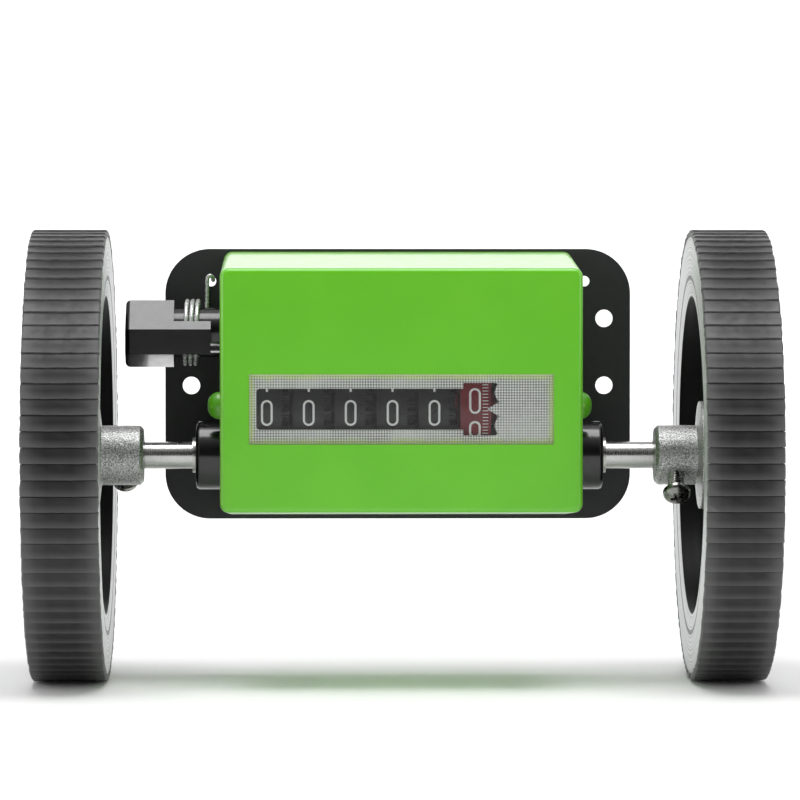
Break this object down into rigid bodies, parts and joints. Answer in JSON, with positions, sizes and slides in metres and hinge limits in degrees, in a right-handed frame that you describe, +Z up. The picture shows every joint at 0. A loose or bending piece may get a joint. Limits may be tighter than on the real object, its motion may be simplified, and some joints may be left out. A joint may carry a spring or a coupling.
{
  "type": "measuring wheel",
  "caption": "Roller-type length counter: rubber-tyred wheels on one axle turn a number-wheel counter in a green cover, bolted on by a back plate, with a sprung reset knob.",
  "frame": {"origin": "on the axis of the axle, midway between the two wheels", "axes": "+X along the axle, with the reset knob on the -X side; +Y from the counter window towards the back plate; +Z up"},
  "size_m": [0.1716, 0.106, 0.106],
  "materials": {
    "black_plate": "satin black powder coat",
    "frame_steel": "zinc-plated sheet steel",
    "green_cover": "glossy bright green paint",
    "clear_lens": "clear plastic",
    "silver_mask": "silver film with a fine woven texture",
    "black_moulding": "moulded, glossy",
    "bush_bronze": "sintered bronze",
    "shaft_steel": "ground steel",
    "spring_steel": "bright spring wire",
    "cast_rim": "turned casting with black paint in the recess",
    "tyre_rubber": "moulded black rubber",
    "cast_hub": "rough sand casting",
    "plated_screw": "zinc-plated",
    "gear_brass": "cut brass",
    "gear_plastic": "natural acetal",
    "red_wheel": "moulded red with white digits",
    "black_wheel": "moulded black with white digits"
  },
  "bodies": {
    "frame": {"base_plate": "black_plate", "left_side_frame": "frame_steel", "right_side_frame": "frame_steel", "frame_rivets": "frame_steel", "cover": "green_cover", "cover_screws": "green_cover", "window_lens": "clear_lens", "window_mask": "silver_mask", "left_bearing_housing": "black_moulding", "right_bearing_housing": "black_moulding", "left_axle_bush": "bush_bronze", "right_axle_bush": "bush_bronze", "idler_stud": "shaft_steel", "counter_shaft": "shaft_steel", "pinion_shaft": "shaft_steel", "return_spring": "spring_steel"},
    "axle": {"axle_shaft": "shaft_steel", "left_rim": "cast_rim", "right_rim": "cast_rim", "left_tyre": "tyre_rubber", "right_tyre": "tyre_rubber", "left_hub": "cast_hub", "right_hub": "cast_hub", "left_set_screw": "plated_screw", "right_set_screw": "plated_screw", "left_retaining_ring": "spring_steel", "right_retaining_ring": "spring_steel", "drive_gear": "gear_brass"},
    "idler": {"idler_gear": "gear_plastic"},
    "tenths": {"tenths_wheel": "red_wheel", "counter_gear": "gear_plastic"},
    "reset": {"reset_knob": "black_moulding", "reset_shaft": "shaft_steel", "reset_comb": "frame_steel"},
    "wheel_5": {"number_wheel_5": "black_wheel"},
    "pinion_5": {"transfer_pinion_5": "gear_plastic"},
    "wheel_4": {"number_wheel_4": "black_wheel"},
    "pinion_4": {"transfer_pinion_4": "gear_plastic"},
    "wheel_3": {"number_wheel_3": "black_wheel"},
    "pinion_3": {"transfer_pinion_3": "gear_plastic"},
    "wheel_2": {"number_wheel_2": "black_wheel"},
    "pinion_2": {"transfer_pinion_2": "gear_plastic"},
    "wheel_1": {"number_wheel_1": "black_wheel"},
    "pinion_1": {"transfer_pinion_1": "gear_plastic"}
  },
  "joints": [
    {"name": "axle_spin", "type": "hinge", "parent": "frame", "child": "axle", "pos_m": [0, 0, 0], "axis": [1, 0, 0], "continuous": true},
    {"name": "idler_spin", "type": "hinge", "parent": "frame", "child": "idler", "pos_m": [0, -0.00337, 0.01646], "axis": [1, 0, 0], "continuous": true},
    {"name": "tenths_spin", "type": "hinge", "parent": "frame", "child": "tenths", "pos_m": [0, -0.0165, 0.0116], "axis": [1, 0, 0], "continuous": true},
    {"name": "wheel_5_spin", "type": "hinge", "parent": "frame", "child": "wheel_5", "pos_m": [0, -0.0165, 0.0116], "axis": [1, 0, 0], "continuous": true},
    {"name": "pinion_5_spin", "type": "hinge", "parent": "frame", "child": "pinion_5", "pos_m": [0, -0.01773, 0.02565], "axis": [1, 0, 0], "continuous": true},
    {"name": "wheel_4_spin", "type": "hinge", "parent": "frame", "child": "wheel_4", "pos_m": [0, -0.0165, 0.0116], "axis": [1, 0, 0], "continuous": true},
    {"name": "pinion_4_spin", "type": "hinge", "parent": "frame", "child": "pinion_4", "pos_m": [0, -0.01773, 0.02565], "axis": [1, 0, 0], "continuous": true},
    {"name": "wheel_3_spin", "type": "hinge", "parent": "frame", "child": "wheel_3", "pos_m": [0, -0.0165, 0.0116], "axis": [1, 0, 0], "continuous": true},
    {"name": "pinion_3_spin", "type": "hinge", "parent": "frame", "child": "pinion_3", "pos_m": [0, -0.01773, 0.02565], "axis": [1, 0, 0], "continuous": true},
    {"name": "wheel_2_spin", "type": "hinge", "parent": "frame", "child": "wheel_2", "pos_m": [0, -0.0165, 0.0116], "axis": [1, 0, 0], "continuous": true},
    {"name": "pinion_2_spin", "type": "hinge", "parent": "frame", "child": "pinion_2", "pos_m": [0, -0.01773, 0.02565], "axis": [1, 0, 0], "continuous": true},
    {"name": "wheel_1_spin", "type": "hinge", "parent": "frame", "child": "wheel_1", "pos_m": [0, -0.0165, 0.0116], "axis": [1, 0, 0], "continuous": true},
    {"name": "pinion_1_spin", "type": "hinge", "parent": "frame", "child": "pinion_1", "pos_m": [0, -0.01773, 0.02565], "axis": [1, 0, 0], "continuous": true},
    {"name": "reset_turn", "type": "hinge", "parent": "frame", "child": "reset", "pos_m": [0, 0.009, 0.0288], "axis": [-1, 0, 0], "range_deg": [0, 60], "stiffness_Nm_per_rad": 0.03, "deforming": ["return_spring"]}
  ],
  "couplings": [
    {"joint": "idler_spin", "follows": "axle_spin", "ratio": -0.5},
    {"joint": "tenths_spin", "follows": "axle_spin", "ratio": 0.33333},
    {"joint": "wheel_5_spin", "follows": "axle_spin", "ratio": 0.033333},
    {"joint": "pinion_5_spin", "follows": "axle_spin", "ratio": -0.083333},
    {"joint": "wheel_4_spin", "follows": "axle_spin", "ratio": 0.0033333},
    {"joint": "pinion_4_spin", "follows": "axle_spin", "ratio": -0.0083333},
    {"joint": "wheel_3_spin", "follows": "axle_spin", "ratio": 0.00033333},
    {"joint": "pinion_3_spin", "follows": "axle_spin", "ratio": -0.00083333},
    {"joint": "wheel_2_spin", "follows": "axle_spin", "ratio": 0.000033333},
    {"joint": "pinion_2_spin", "follows": "axle_spin", "ratio": -0.000083333},
    {"joint": "wheel_1_spin", "follows": "axle_spin", "ratio": 0.0000033333},
    {"joint": "pinion_1_spin", "follows": "axle_spin", "ratio": -0.0000083333}
  ]
}
